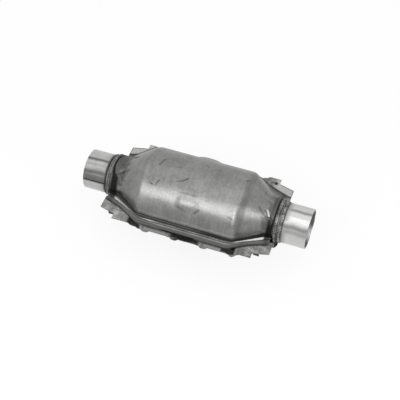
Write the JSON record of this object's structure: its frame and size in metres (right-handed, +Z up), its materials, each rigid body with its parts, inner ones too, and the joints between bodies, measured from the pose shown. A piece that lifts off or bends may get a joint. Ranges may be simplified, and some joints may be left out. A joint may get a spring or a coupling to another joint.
{
  "type": "catalytic converter",
  "caption": "Round catalytic converter: two stamped steel half shells with seam flanges, stub pipes welded in at both ends, coated bricks inside and a ribbed heat shield below.",
  "frame": {"origin": "on the surface that the shield's ribs rest on, below the middle of the part's length and width", "axes": "+X along the pipes from inlet to outlet, +Z up, pipe axis 65.0 mm above the origin"},
  "size_m": [0.33, 0.1468, 0.1214],
  "materials": {
    "shell_steel": "mill-finish stainless sheet, stained near the welds",
    "pipe_steel": "bright drawn tube with fine lengthwise and turned marks",
    "collar_steel": "heat-darkened steel",
    "weld_metal": "rippled weld metal with soot",
    "brick_ceramic": "washcoated honeycomb",
    "mat_fibre": "pale fibre mat",
    "seal_mesh": "knitted wire",
    "shield_sheet": "aluminised sheet, speckled"
  },
  "bodies": {
    "root": {"upper_shell": "shell_steel", "lower_shell": "shell_steel", "inlet_pipe": "pipe_steel", "outlet_pipe": "pipe_steel", "inlet_collar": "collar_steel", "outlet_collar": "collar_steel", "inlet_pipe_weld": "weld_metal", "outlet_pipe_weld": "weld_metal", "inlet_neck_weld": "weld_metal", "outlet_neck_weld": "weld_metal", "front_brick": "brick_ceramic", "rear_brick": "brick_ceramic", "front_mat": "mat_fibre", "rear_mat": "mat_fibre", "front_brick_inlet_seal": "seal_mesh", "front_brick_middle_seal": "seal_mesh", "rear_brick_middle_seal": "seal_mesh", "rear_brick_outlet_seal": "seal_mesh", "brick_spacer": "collar_steel", "heat_shield": "shield_sheet", "shield_spot_welds": "weld_metal"}
  },
  "joints": []
}
